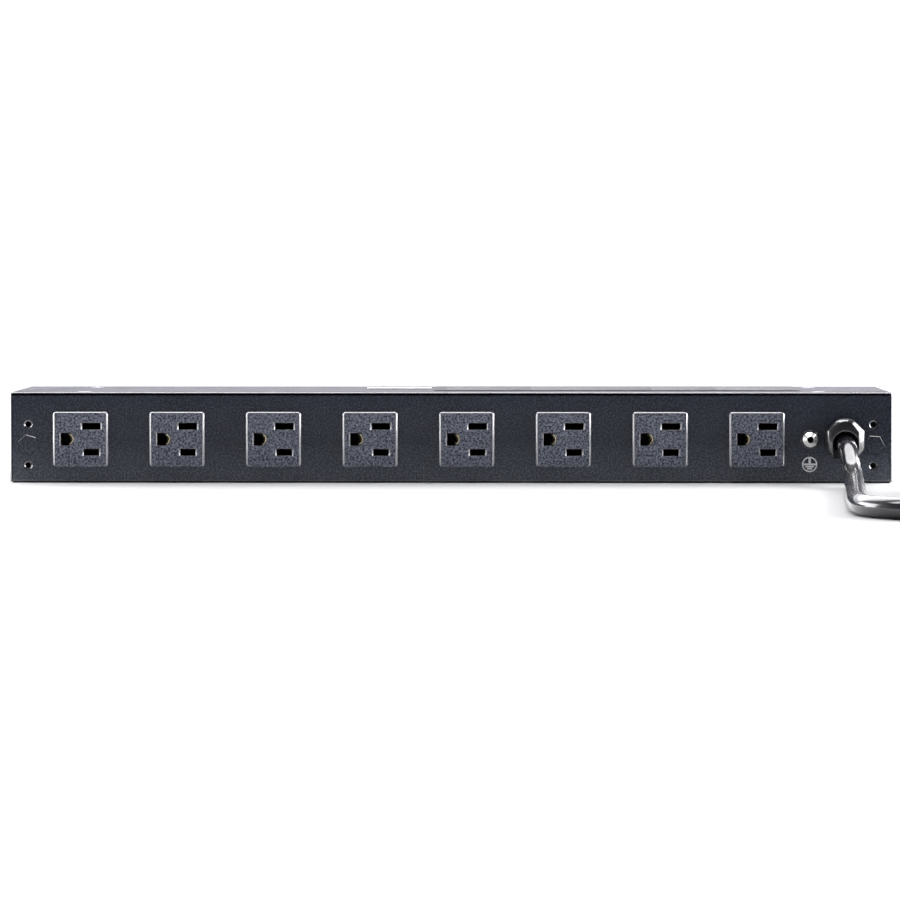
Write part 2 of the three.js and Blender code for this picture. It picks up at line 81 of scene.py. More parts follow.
# ---- materials
class Nodes:
    """The node tree of a material or of the world, with short calls for the nodes used here."""

    def __init__(self, owner, coordinates="Object"):
        owner.use_nodes = True
        self.owner, self.tree = owner, owner.node_tree
        self.place = self.add("ShaderNodeTexCoord").outputs[coordinates]

    def add(self, kind, **settings):
        node = self.tree.nodes.new(kind)
        for key, value in settings.items():
            setattr(node, key, value)
        return node

    def put(self, socket, value):
        """Links the socket to another one, or sets a colour or a number on it."""
        if isinstance(value, bpy.types.NodeSocket):
            self.tree.links.new(value, socket)
        else:
            socket.default_value = (*value, 1) if isinstance(value, tuple) else value

    def axis(self, letter):
        split = self.add("ShaderNodeSeparateXYZ")
        self.put(split.inputs["Vector"], self.place)
        return split.outputs[letter]

    def noise(self, size_mm, detail, stretch=None, roughness=0.5):
        """Noise whose features are about size_mm across, from 0 to 1."""
        place = self.place
        if stretch:
            mapping = self.add("ShaderNodeMapping")
            mapping.inputs["Scale"].default_value = stretch
            self.put(mapping.inputs["Vector"], place)
            place = mapping.outputs["Vector"]
        node = self.add("ShaderNodeTexNoise")
        for key, value in (("Scale", 1 / (size_mm * MM)), ("Detail", detail), ("Roughness", roughness),
                           ("Vector", place)):
            self.put(node.inputs[key], value)
        return node.outputs["Fac"]

    def ramp(self, source, stops):
        """stops: (position, colour or grey value)."""
        node = self.add("ShaderNodeValToRGB")
        elements = node.color_ramp.elements
        while len(elements) < len(stops):
            elements.new(0.5)
        for element, (position, value) in zip(elements, stops):
            element.position = position
            element.color = (*(value if isinstance(value, tuple) else (value,) * 3), 1)
        self.put(node.inputs["Fac"], source)
        return node.outputs["Color"]

    def spread(self, source, low, high, start=0.3, end=0.7):
        """Low to high where the source goes from start to end."""
        node = self.add("ShaderNodeMapRange")
        for key, value in (("From Min", start), ("From Max", end), ("To Min", low), ("To Max", high),
                           ("Value", source)):
            self.put(node.inputs[key], value)
        return node.outputs["Result"]

    def mix(self, factor, first, second):
        node = self.add("ShaderNodeMix", data_type="RGBA")
        for i, value in ((0, factor), (6, first), (7, second)):
            self.put(node.inputs[i], value)
        return node.outputs[2]

    def bump(self, height, depth_mm, strength, under=None):
        node = self.add("ShaderNodeBump")
        for key, value in (("Strength", strength), ("Distance", depth_mm * MM), ("Height", height)):
            self.put(node.inputs[key], value)
        if under:
            self.put(node.inputs["Normal"], under)
        return node.outputs["Normal"]

    def set(self, **values):
        """Sets or links the shader's sockets, and returns the material."""
        names = {
            "colour": "Base Color", "rough": "Roughness", "metal": "Metallic", "normal": "Normal",
            "specular": "Specular IOR Level", "coat": "Coat Weight", "coat_rough": "Coat Roughness",
            "coat_ior": "Coat IOR", "tint": "Specular Tint",
        }
        shader = self.tree.nodes["Principled BSDF"]
        for key, value in values.items():
            self.put(shader.inputs[names[key]], value)
        return self.owner


def material_nodes(name):
    return Nodes(bpy.data.materials.new(name))


def powder_coat(name, dark, light, rough, bounce_colour, tint=(1.0, 1.0, 1.0), specular=0.5):
    """Painted sheet steel: grain, orange peel, uneven gloss, and painted floor bounce: the grain turns
    lighter near the bottom.
    """
    n = material_nodes(name)
    grain = n.noise(0.85, 3, roughness=0.6)
    grain_low, grain_high, bounce_height = 0.44, 0.64, 0.02
    cloud = n.noise(38, 2)
    tone = n.mix(n.spread(cloud, 0.0, 0.15), n.ramp(grain, [(grain_low, dark), (grain_high, light)]), light)
    # Painted light: below about 20 mm the grain turns to the lighter bounce colour, standing in for light
    # bounced up from the floor.
    bounce_tone = n.ramp(grain, [(grain_low, tuple(0.3 * v for v in bounce_colour)), (grain_high, bounce_colour)])
    tone = n.mix(n.spread(n.axis("Z"), 1.0, 0.0, 0.001, bounce_height), tone, bounce_tone)
    peel = n.bump(n.noise(1.1, 2), 0.05, 0.35)
    fine = n.bump(n.noise(0.35, 2), 0.02, 0.5, peel)
    return n.set(colour=tone, rough=n.spread(n.noise(6, 3), rough - 0.05, rough + 0.07), normal=fine,
                 tint=tint, specular=specular)


def moulded(name, dark, light, rough, grain_mm=0.45, grain_depth=0.06, coat=0.0, coat_ior=1.5,
            coat_rough=0.12, specular=0.5):
    """Moulded plastic with the texture that its tool left, clear-coated where it is polished."""
    n = material_nodes(name)
    grain = n.noise(grain_mm, 4, roughness=0.65)
    return n.set(colour=n.ramp(grain, [(0.4, dark), (0.62, light)]),
                 rough=n.spread(n.noise(9, 3), rough - 0.06, rough + 0.08),
                 normal=n.bump(grain, grain_depth, 0.6), specular=specular,
                 coat=coat, coat_ior=coat_ior, coat_rough=coat_rough)


def plated(name, dark, light, rough):
    """Plated or bare metal with faint marks and dull patches."""
    n = material_nodes(name)
    marks = n.noise(0.6, 3)
    return n.set(colour=n.mix(n.spread(n.noise(2.5, 3), 0.0, 0.6), light, dark), metal=1.0,
                 rough=n.spread(marks, rough - 0.06, rough + 0.1), normal=n.bump(marks, 0.01, 0.4))


# The colour after the roughness is each paint's painted floor bounce near the bottom.
PAINT = powder_coat("casing_powder_coat", (0.004, 0.005, 0.01), (0.05, 0.062, 0.098), 0.42,
                    (0.14, 0.158, 0.206), specular=0.47)
COVER_PAINT = powder_coat("cover_powder_coat", (0.003, 0.003, 0.006), (0.044, 0.049, 0.069), 0.58,
                          (0.05, 0.055, 0.072), (0.9, 0.88, 1.0))
# Painted highlight: a lighter colour under a gloss coat on the cover's rounded edges and countersinks,
# standing in for the light they catch.
EDGE_HIGHLIGHT = moulded("casing_edge_painted_highlight", (0.07, 0.074, 0.095), (0.14, 0.147, 0.18), 0.25, 0.9, 0.01,
                     1.0, 2.7, 0.25)
SEAM = moulded("casing_gloss_edge", (0.009, 0.01, 0.013), (0.02, 0.022, 0.028), 0.25, 0.9, 0.01, 1.0, 2.3)
OUTLET = moulded("outlet_thermoplastic", (0.01, 0.012, 0.018), (0.252, 0.276, 0.362), 0.5, 1.0, 0.1)
# Painted highlight: a lighter colour under a gloss coat on the outlets' upper and side rims and funnel walls,
# standing in for the light they catch.
OUTLET_HIGHLIGHT = moulded("outlet_edge_painted_highlight", (0.16, 0.165, 0.2), (0.26, 0.265, 0.31), 0.22, 0.8, 0.008,
                      1.0, 2.6, 0.25)
# Painted shade: a near-black matt colour put in slots, bores, hole threads, arches and grooves and on the
# casing's lowest rear edge, where shade falls.
RECESS_SHADE = moulded("outlet_inside", (0.008, 0.008, 0.009), (0.014, 0.014, 0.016), 0.7)
GLOSS = moulded("relief_nylon", (0.006, 0.006, 0.008), (0.016, 0.016, 0.02), 0.3, 1.4, 0.02,
                1.0, 1.95, 0.07)
SWITCH = moulded("switch_plastic", (0.012, 0.012, 0.014), (0.022, 0.022, 0.026), 0.34, 0.5, 0.02)
RESET = moulded("reset_plastic", (0.3, 0.018, 0.012), (0.42, 0.03, 0.02), 0.4, 0.6, 0.02)
LABEL = moulded("label_film", (0.74, 0.74, 0.75), (0.84, 0.84, 0.84), 0.45, 0.8, 0.01)
PRINT = moulded("panel_print", (0.82, 0.82, 0.84), (0.94, 0.94, 0.96), 0.5, 0.4, 0.01)
FIBRE = moulded("fibre_sheet", (0.16, 0.14, 0.11), (0.24, 0.21, 0.17), 0.8, 1.2, 0.05)
WIRE_BLACK = moulded("wire_black", (0.01, 0.01, 0.01), (0.02, 0.02, 0.02), 0.4, 1.0, 0.02)
WIRE_WHITE = moulded("wire_white", (0.6, 0.6, 0.58), (0.72, 0.72, 0.7), 0.4, 1.0, 0.02)
WIRE_GREEN = moulded("wire_green", (0.02, 0.16, 0.05), (0.03, 0.24, 0.08), 0.4, 1.0, 0.02)
BRASS = plated("contact_brass", (0.7, 0.54, 0.3), (0.95, 0.85, 0.62), 0.34)
NICKEL = plated("nickel_plating", (0.78, 0.77, 0.76), (0.95, 0.94, 0.93), 0.38)
RIM = plated("bare_thread", (0.2, 0.2, 0.21), (0.36, 0.36, 0.38), 0.18)
# Painted shade: the washer is near-black metal standing in for the shadow ring round the post; its chamfer is
# lighter as a painted highlight.
WASHER_SHADE = plated("washer_painted_shade", (0.015, 0.015, 0.018), (0.04, 0.04, 0.045), 0.3)
WASHER_HIGHLIGHT = plated("washer_painted_highlight", (0.1, 0.1, 0.11), (0.2, 0.2, 0.22), 0.25)
TURNED = plated("turned_post", (0.86, 0.85, 0.83), (1.0, 0.99, 0.97), 0.27)
ZINC = plated("zinc_plate", (0.42, 0.42, 0.44), (0.66, 0.66, 0.68), 0.32)


def cord_jacket():
    """Glossy vinyl: soft ripples from the conductors inside, faint scuffs along it, and a clear coat."""
    n = material_nodes("cord_vinyl")
    scuff = n.noise(3.5, 1, (1, 0.35, 1))
    tone = n.ramp(scuff, [(0.35, (0.006, 0.006, 0.009)), (0.8, (0.014, 0.014, 0.019))])
    normal = n.bump(n.noise(1.4, 2), 0.004, 0.3, n.bump(n.noise(18, 1), 0.06, 0.2))
    return n.set(colour=tone, rough=n.spread(scuff, 0.16, 0.28), normal=normal, specular=0.2,
                 coat=1.0, coat_rough=0.14, coat_ior=1.72)


CORD = cord_jacket()
CORD_MATT = moulded("plug_vinyl", (0.012, 0.012, 0.014), (0.024, 0.024, 0.028), 0.42, 0.8, 0.03)
STRAP = moulded("strap_fabric", (0.02, 0.02, 0.024), (0.05, 0.05, 0.058), 0.85, 0.5, 0.12)
LABEL_DARK = moulded("label_dark", (0.02, 0.021, 0.026), (0.032, 0.033, 0.04), 0.55, 0.6, 0.01,
                     specular=0.3)
# A near-black band on the blank label's far part.
LABEL_BAND = moulded("label_dark_band", (0.008, 0.008, 0.009), (0.016, 0.016, 0.018), 0.8, 0.6, 0.01,
                    specular=0.05)
FIELD_PRINT = moulded("label_field_print", (0.3, 0.3, 0.31), (0.42, 0.42, 0.43), 0.6, 0.4, 0.01)
# Painted shade: brass darkened to near black for contacts that sit in the slots' shade, and for the switch
# parts inside the casing.
BRASS_SHADED = plated("contact_brass_painted_shade", (0.05, 0.035, 0.015), (0.1, 0.07, 0.03), 0.5)
BRASS_PLATED = plated("blade_nickel", (0.6, 0.52, 0.36), (0.8, 0.74, 0.6), 0.25)


# ---- outlines, in a plane
def arc(centre, radius, start, end, steps):
    cx, cy = centre
    angles = [math.radians(start + (end - start) * i / steps) for i in range(steps + 1)]
    return [(cx + radius * math.cos(a), cy + radius * math.sin(a)) for a in angles]


def circle(radius, count=32, centre=(0, 0), turn=0.0):
    return arc(centre, radius, turn, turn + 360 * (count - 1) / count, count - 1)


def rounded(width, height, radius, steps=4, centre=(0, 0)):
    a, b = width / 2 - radius, height / 2 - radius
    corners = ((a, b, 0), (-a, b, 90), (-a, -b, 180), (a, -b, 270))
    cx, cy = centre
    return [p for x, y, turn in corners for p in arc((cx + x, cy + y), radius, turn, turn + 90, steps)]


def hexagon(across_flats, turn=0.0):
    return circle(across_flats / 2 / math.cos(math.pi / 6), 6, turn=turn)


# ---- solids
def on_panel(u, v, w):
    """Drawn in x and z, raised along y."""
    return u, w, v


def on_top(u, v, w):
    """Drawn in x and y, raised along z."""
    return u, v, w


def on_side(u, v, w):
    """Drawn in y and z, raised along x."""
    return w, u, v


def loft(layers, plane=on_panel, at=(0, 0, 0), ring=False):
    """Faces through outlines with the same number of points: layers of (outline, height).

    It is closed by its first and last outline, or as a ring by a band from the last to the first.
    """
    bm = bmesh.new()
    shift = Vector(at)
    loops = [[bm.verts.new(Vector(plane(u, v, w)) + shift) for u, v in outline] for outline, w in layers]
    for low, high in zip(loops, loops[1:] + loops[:1] if ring else loops[1:]):
        for i in range(len(low)):
            j = (i + 1) % len(low)
            bm.faces.new((low[i], low[j], high[j], high[i]))
    if not ring:
        bm.faces.new(loops[0])
        bm.faces.new(loops[-1])
    bmesh.ops.recalc_face_normals(bm, faces=bm.faces)
    return bm


def turned_ring(section, at=(0, 0, 0), count=48):
    """A ring with the closed (radius, height) section."""
    return loft([(circle(r, count), w) for r, w in section], at=at, ring=True)


def prism(outline, start, end, plane=on_panel, at=(0, 0, 0)):
    return loft([(outline, start), (outline, end)], plane, at)


def lathe(profile, plane=on_panel, at=(0, 0, 0), count=40):
    """A turned solid: profile is (radius, height), and both ends are closed flat."""
    return loft([(circle(r, count), w) for r, w in profile], plane, at)


def block(low, high):
    x0, y0, z0 = low
    x1, y1, z1 = high
    return loft([([(x0, y0), (x1, y0), (x1, y1), (x0, y1)], z) for z in (z0, z1)], on_top)


def painted_bands(layers, marks, at=(0, 0, 0)):
    """loft(), with a material index for each band between two layers."""
    bm = loft(layers, at=at)
    sides = len(layers[0][0])
    for i, face in enumerate(bm.faces):
        if i < sides * len(marks):
            face.material_index = marks[i // sides]
    bm.faces.ensure_lookup_table()
    bm.faces[-2].material_index = marks[0]
    bm.faces[-1].material_index = marks[-1]
    return bm


def joined(*parts):
    whole = bmesh.new()
    for part in parts:
        mesh = bpy.data.meshes.new("part")
        part.to_mesh(mesh)
        part.free()
        whole.from_mesh(mesh)
        bpy.data.meshes.remove(mesh)
    return whole


def object_of(bm, name, *materials):
    mesh = bpy.data.meshes.new(name)
    bm.to_mesh(mesh)
    bm.free()
    for material in materials:
        mesh.materials.append(material)
    return linked(name, mesh)


def baked(piece):
    """Applies the piece's modifiers."""
    bpy.context.view_layer.update()
    graph = bpy.context.evaluated_depsgraph_get()
    mesh = bpy.data.meshes.new_from_object(piece.evaluated_get(graph))
    old = piece.data
    piece.modifiers.clear()
    piece.data = mesh
    mesh.name = old.name
    bpy.data.meshes.remove(old)
    return piece


def cut(piece, cutters, operation="DIFFERENCE", material=None):
    """Cuts the solids, which don't overlap each other, out of the piece, or joins them to it."""
    tool = object_of(joined(*cutters), "tool", *piece.data.materials)
    if material is not None:
        for polygon in tool.data.polygons:
            polygon.material_index = material
    modifier = piece.modifiers.new("cut", "BOOLEAN")
    modifier.operation = operation
    modifier.solver = "EXACT"
    modifier.object = tool
    baked(piece)
    bpy.data.objects.remove(tool)
    return piece


def added(piece, parts, material=0):
    """Adds closed shells to the piece's mesh as they are."""
    extra = joined(*parts)
    for face in extra.faces:
        face.material_index = material
    mesh = bpy.data.meshes.new("extra")
    extra.to_mesh(mesh)
    whole = bmesh.new()
    for part in (piece.data, mesh):
        whole.from_mesh(part)
    whole.to_mesh(piece.data)
    extra.free()
    whole.free()
    bpy.data.meshes.remove(mesh)
    return piece


def bevelled(piece, width, steps=2, angle=35):
    modifier = piece.modifiers.new("edges", "BEVEL")
    modifier.width = width
    modifier.segments = steps
    modifier.limit_method = "ANGLE"
    modifier.angle_limit = math.radians(angle)
    return baked(piece)


def finished(piece, nodes, body="casing", smooth=38):
    """Takes the piece from millimetres to metres, and hands it to the frame."""
    piece.data.transform(Matrix.Scale(MM, 4))
    piece.data.shade_smooth()
    piece.data.set_sharp_from_angle(angle=math.radians(smooth))
    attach(piece, body)
    if nodes:
        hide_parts(*nodes)
    return piece


def settled(piece, matrix):
    piece.data.transform(matrix)
    return piece


def placed(x, y, z, turn=0.0):
    return Matrix.Translation((x, y, z)) @ Matrix.Rotation(math.radians(turn), 4, "Z")


def copied(piece, name, matrix, nodes):
    """A copy of a millimetre piece, set in its place on the casing."""
    return finished(settled(linked(name, piece.data.copy()), matrix), nodes)


# ---- camera, floor and light
def make_camera():
    """Looks at the rear panel from 2.04 m in front of it and a little above."""
    data = bpy.data.cameras.new("camera")
    data.sensor_width = 36
    data.lens = 167.4
    data.clip_start, data.clip_end = 0.05, 60
    camera = linked("camera", data)
    place = Vector((24.75, REAR_Y - 2041, OUTLET_Z + 91.27)) * MM
    aim = Vector((-0.35, REAR_Y, OUTLET_Z - 5.23)) * MM
    camera.location = place
    camera.rotation_euler = (aim - place).to_track_quat("-Z", "Y").to_euler()
    bpy.context.scene.camera = camera


def make_floor():
    n = material_nodes("floor")
    tone = n.ramp(n.noise(400, 2), [(0.3, 0.61), (0.7, 0.64)])
    pale = n.set(colour=tone, rough=0.75, specular=0.2)
    floor = object_of(block((-5200, -3600, -20), (5200, 1150, 0)), "floor", pale)
    settled(floor, Matrix.Scale(MM, 4))


SOFT_WHITE = (0.985, 0.98, 1.0)
LIGHTS = [                        # name, place, aim, size, watts, colour, spread
    ("top", (-0.42, -0.02, 1.5), (-0.42, -0.02, 0), (2.05, 0.44), 17, SOFT_WHITE),
    ("back", (0.1, 1.6, 1.4), (0.1, 0.0, 0.0), (3.0, 1.6), 50, SOFT_WHITE),
    ("right", (1.1, 0.05, 0.46), (0.0, 0.05, 0.46), (1.2, 0.88), 15),
    ("right card", (0.5, 0.3, 0.15), (0.0, 0.3, 0.15), (0.86, 0.3), 4.8),
    ("front floor", (0.0, -1.3, 1.25), (0.0, -1.3, 0.0), (2.0, 1.1), 13, (1, 1, 1), 64),
    ("left floor", (-2.6, -0.3, 1.25), (-2.6, -0.3, 0.0), (2.6, 3.4), 42, (1, 1, 1), 64),
    ("right floor", (2.6, -0.3, 1.25), (2.6, -0.3, 0.0), (2.6, 3.4), 42, (1, 1, 1), 64),
    ("left card", (-0.5, 0.2, 0.15), (0.0, 0.2, 0.15), (0.66, 0.3), 3.8),
]


def area_light(name, place, aim, size, power, colour=(1, 1, 1), spread=180):
    data = bpy.data.lights.new(name, "AREA")
    data.shape = "RECTANGLE"
    data.size, data.size_y = size
    data.energy = power
    data.color = colour
    data.spread = math.radians(spread)
    light = linked(name, data)
    light.location = place
    light.rotation_euler = (Vector(aim) - Vector(place)).to_track_quat("-Z", "Y").to_euler()
    light.visible_camera = False


def make_world():
    """A white backdrop behind the strip, and a dim studio above and in front of it."""
    world = bpy.data.worlds.new("studio")
    n = Nodes(world, "Generated")
    background = n.tree.nodes["Background"].inputs
    stops = [(0.25, (0.08, 0.08, 0.09)), (0.55, (0.5, 0.5, 0.54)), (0.77, (1.15, 1.14, 1.22))]
    n.put(background["Color"], n.ramp(n.spread(n.axis("Y"), 0, 1, -1, 1), stops))
    n.put(background["Strength"], n.spread(n.axis("Z"), 1.0, 0.4, 0.25, 0.6))
    bpy.context.scene.world = world


def make_light():
    make_world()
    bpy.context.scene.view_settings.view_transform = "Standard"
    for light in LIGHTS:
        area_light(*light)


make_camera()
make_floor()
make_light()


# ---- power cord
# The route repeats the CAD's. After the hank's turns the cord slips down into its hole.
ROUTE = [
    (191.8, -34, EXIT_Z), (191.8, -46, EXIT_Z), (191.9, -57, 19.1), (192, -68, 16.5),
    (192.2, -79, 12), (192.2, -90, 7.6), (191.8, -101, 5.3), (191.1, -113, 4.75),
    (189.6, -133, 4.7), (187.6, -160, 4.7), (185, -195, 4.7), (182.3, -230, 4.7),
    (180.2, -258, 4.7), (179, -278, 4.7), (179.6, -301.3, 4.7), (184.6, -315, 4.7),
    (194, -326.2, 4.7), (206.6, -333.5, 4.7), (221, -336, 4.7), (243, -336, 4.9),
    (258, -336, 5.2),
]
hank_low, hank_high = box_mm("cord_hank")
HANK_X = (hank_low.x + hank_high.x) / 2
HANK_RUN = 160
HANK_INNER = 30
HANK_PITCH = 9.7
HANK_TRACKS = 2                   # steps between the innermost and the outermost turn
HANK_OUTER = HANK_INNER + HANK_TRACKS * HANK_PITCH
HANK_Y = hank_low.y + CORD_D / 2 + HANK_OUTER
HANK_FIRST_Z = hank_low.z + CORD_D / 2
HANK_RISE = 9.6
HANK_TURNS = 5.625
HANK_STEPS = 64                   # points in a turn
# Stations of a turn: its share, the angle on the bend, and the share of the straight run.
HANK_STATIONS = ((0.0, -90, 0), (0.125, 0, 0), (0.375, 0, 1), (0.625, 180, 1), (0.875, 180, 0), (1.0, 270, 0))
plug_low, plug_high = box_mm("plug_body")


def eased(t):
    t = min(max(t, 0.0), 1.0)
    return t * t * (3 - 2 * t)


def hank_radius(t):
    """Inwards for two turns, outwards for two, and so on."""
    phase = t % (2 * HANK_TRACKS)
    inwards = phase if phase <= HANK_TRACKS else 2 * HANK_TRACKS - phase
    return HANK_OUTER - HANK_PITCH * inwards


def hank_height(t):
    """A layer up just before each change of direction."""
    return HANK_FIRST_Z + HANK_RISE * sum(eased((t - turn + 0.15) / 0.35) for turn in (2, 4))


def hank_points():
    """Turns of two bends and two straight runs, from the middle of the near bend on."""
    points = []
    for i in range(int(HANK_TURNS * HANK_STEPS) + 1):
        t = i / HANK_STEPS
        share, r = t % 1.0, hank_radius(t)
        for (s0, a0, run0), (s1, a1, run1) in zip(HANK_STATIONS, HANK_STATIONS[1:]):
            if s0 <= share < s1:
                part = (share - s0) / (s1 - s0)
                a = math.radians(a0 + (a1 - a0) * part)
                y = HANK_Y + HANK_RUN * (run0 + (run1 - run0) * part)
                points.append((HANK_X + r * math.cos(a), y + r * math.sin(a), hank_height(t)))
    return points


def smooth_curve(points, steps=8):
    """Centripetal Catmull-Rom through the points, without the first and last of them."""
    p = [Vector(q) for q in points]
    out = []
    for a, b, c, d in zip(p, p[1:], p[2:], p[3:]):
        t1 = (b - a).length ** 0.5
        t2 = t1 + (c - b).length ** 0.5
        t3 = t2 + (d - c).length ** 0.5
        for i in range(steps):
            t = t1 + (t2 - t1) * i / steps
            ab = a.lerp(b, t / t1)
            bc = b.lerp(c, (t - t1) / (t2 - t1))
            cd = c.lerp(d, (t - t2) / (t3 - t2))
            abc = ab.lerp(bc, t / t2)
            bcd = bc.lerp(cd, (t - t1) / (t3 - t1))
            out.append(abc.lerp(bcd, (t - t1) / (t2 - t1)))
    out.append(p[-2])
    return out


def tail_points(start):
    """From the hank's last run over to its middle line in two equal arcs, and down to the plug."""
    x0, y0, z0 = start
    y1, z1 = plug_high.y + 8, (plug_low.z + plug_high.z) / 2
    across, along = HANK_X - x0, y0 - y1
    sweep = 2 * math.atan(across / along)
    radius = along / 2 / math.sin(sweep)
    points = []
    count = 24
    for i in range(1, count + 1):
        s = 2 * i / count
        turn = sweep * min(s, 2 - s)
        u, v = radius * (1 - math.cos(turn)), radius * math.sin(turn)
        if s > 1:
            u, v = across - u, along - v
        points.append((x0 + u, y0 - v, z0 + (z1 - z0) * (u / across) ** 1.6))
    points.append((HANK_X, plug_high.y - 2, z1))
    return points


def cord_path():
    lead = smooth_curve([(191.8, -30, EXIT_Z), *ROUTE, (272, -336, 5.4)], 6)
    turns = hank_points()
    return [Vector(p) for p in [*lead, *turns, *tail_points(turns[-1])]]


def make_cord(pieces):
    path = cord_path()
    data = bpy.data.curves.new("power_cord_curve", "CURVE")
    data.dimensions = "3D"
    data.bevel_depth = CORD_D / 2 * MM
    data.bevel_resolution = 6
    data.use_fill_caps = True
    spline = data.splines.new("POLY")
    spline.points.add(len(path) - 1)
    for point, place in zip(spline.points, path):
        point.co = (*(place * MM), 1)
    spline.use_smooth = True
    data.materials.append(CORD)
    cord = linked("mains_cord", data)
    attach(cord, "casing")
    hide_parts("power_cord", "cord_hank", "cord_tail")


# ---- folded sheet
def filleted(points, radius, steps=5):
    """An open line of points with its inner corners rounded, by one radius or by one for each."""
    line = [Vector(p) for p in points]
    radii = radius if isinstance(radius, tuple) else (radius,) * len(line)
    out = [tuple(line[0])]
    for before, corner, after, radius in zip(line, line[1:], line[2:], radii):
        a, b = (before - corner).normalized(), (after - corner).normalized()
        half = a.angle(b) / 2
        reach = radius / math.tan(half)
        centre = corner + (a + b).normalized() * (radius / math.sin(half))
        start, end = corner + a * reach - centre, corner + b * reach - centre
        sweep = start.angle_signed(end)
        for i in range(steps + 1):
            out.append(tuple(centre + Matrix.Rotation(-sweep * i / steps, 2) @ start))
    out.append(tuple(line[-1]))
    return out


# ---- casing
OUTLET_CUT = 25.8
POST = middle("ground_post")
RELIEF = middle("strain_relief")
SWITCH_AT = middle("rocker_housing")
BREAKER_AT = middle("breaker_collar")
CLINCHES = {name: middle(name) for name in ("clinch_standoff_left", "clinch_standoff_right")}
CLINCH_TURN = {"clinch_standoff_left": -16, "clinch_standoff_right": -4}
END_HOLES = [(x, OUTLET_Z + rise) for x in (-206.6, 206.2) for rise in (-12.7, 7.3)]
# STEEL is the bare countersink, DARK the painted shade in holes and along the bottom, GLOSS_EDGE a
# gloss-coated band.
STEEL, DARK, GLOSS_EDGE = 1, 2, 3           # the casing's materials after its paint


def tapped_hole(x, z):
    """A dark rim and a dark thread, both painted shade, round a bright countersink."""
    profile = ((2.62, -0.4), (2.42, 0), (2.1, 0.25), (1.3, 0.95), (1.5, 1.05), (1.5, 2))
    return painted_bands([(circle(r), REAR_Y + w) for r, w in profile],
                         [DARK, DARK, STEEL, DARK, DARK], at=(x, 0, z))


def boss(x, z):
    """Closed clinch nut behind a tapped hole."""
    return turned_ring([(1.9, 0), (3.1, 0), (3.1, 3.6), (2.7, 4), (0.01, 4), (0.01, 3), (1.9, 3)],
                       at=(x, REAR_Y + SHEET, z), count=32)


def make_chassis():
    top, t, lip = chassis_high.z, SHEET, 29
    outside = [(-lip, top), (REAR_Y, top), (REAR_Y, 0), (FRONT_Y, 0), (FRONT_Y, top), (lip, top)]
    inside = [(-lip, top - t), (REAR_Y + t, top - t), (REAR_Y + t, t),
              (FRONT_Y - t, t), (FRONT_Y - t, top - t), (lip, top - t)]
    section = filleted(outside, (0.6, 1.4, 1.4, 0.6)) + filleted(inside, 0.3)[::-1]
    half = chassis_high.x
    chassis = object_of(prism(section, -half, half, on_side), "casing_base", PAINT, RIM, RECESS_SHADE, SEAM)
    tab = rounded(80, 21.6, 3, centre=(0, 11.2))
    cut(chassis, [prism(tab, side * (half - t), side * half, on_side) for side in (-1, 1)], "UNION")
    rear, front = (REAR_Y - 2, REAR_Y + 3), (FRONT_Y - 3, FRONT_Y + 2)
    outlet = rounded(OUTLET_CUT, OUTLET_CUT, 1.0)
    openings = [(outlet, rear, middle(name).x, OUTLET_Z) for name in REAR_OUTLETS]
    openings += [(outlet, front, middle(name).x, OUTLET_Z) for name in FRONT_OUTLETS]
    openings += [
        (rounded(30, 22, 1.0), front, SWITCH_AT.x, SWITCH_AT.z),
        (circle(5.9, 40), front, BREAKER_AT.x, BREAKER_AT.z),
        (circle(8.1, 48), rear, RELIEF.x, RELIEF_Z),
        (circle(2.6), rear, POST.x, POST.z),
    ]
    openings += [(hexagon(9.3, CLINCH_TURN[name]), rear, at.x, at.z) for name, at in CLINCHES.items()]
    cutters = [prism(outline, *through, at=(x, 0, z)) for outline, through, x, z in openings]
    cut(chassis, cutters + [tapped_hole(x, z) for x, z in END_HOLES])
    # Painted shade: the nuts behind the holes take the dark colour.
    added(chassis, [boss(x, z) for x, z in END_HOLES], DARK)
    screw_hole = circle(1.9, 20)
    for name, at in SCREW_PLACES.items():
        if name.startswith("side"):
            side = 1 if at.x > 0 else -1
            hole = prism(screw_hole, side * (half - 3), side * (half + 2), on_side, at=(0, at.y, at.z))
        else:
            hole = prism(screw_hole, 39, 43.5, on_top, at=(at.x, at.y, 0))
        cut(chassis, [hole])
    # Painted shade: the lowest part of the rear bend, by the floor, takes the near-black colour; the band
    # above it takes the gloss-coated edge.
    for polygon in chassis.data.polygons:
        if polygon.center.y < REAR_Y + 0.2 and 1.0 < polygon.center.z < 1.39:
            polygon.material_index = GLOSS_EDGE
        elif polygon.center.y < REAR_Y + 1.2 and polygon.center.z < 0.6:
            polygon.material_index = DARK
    finished(chassis, ["base_chassis"])


SCREW_PLACES = {
    f"{kind}_screw_{side}_{end}": middle(f"{kind}_screw_{side}_{end}")
    for kind in ("cover", "side") for side in ("left", "right") for end in ("rear", "front")
}


def screw_seat(name, place):
    """Turns a screw drawn upright at the origin to where it sits in the cover."""
    if name.startswith("cover"):
        return Matrix.Translation((place.x, place.y, cover_high.z))
    side = 1 if place.x > 0 else -1
    turn = Matrix.Rotation(math.radians(90 * side), 4, "Y")
    return Matrix.Translation((side * cover_high.x, place.y, place.z)) @ turn


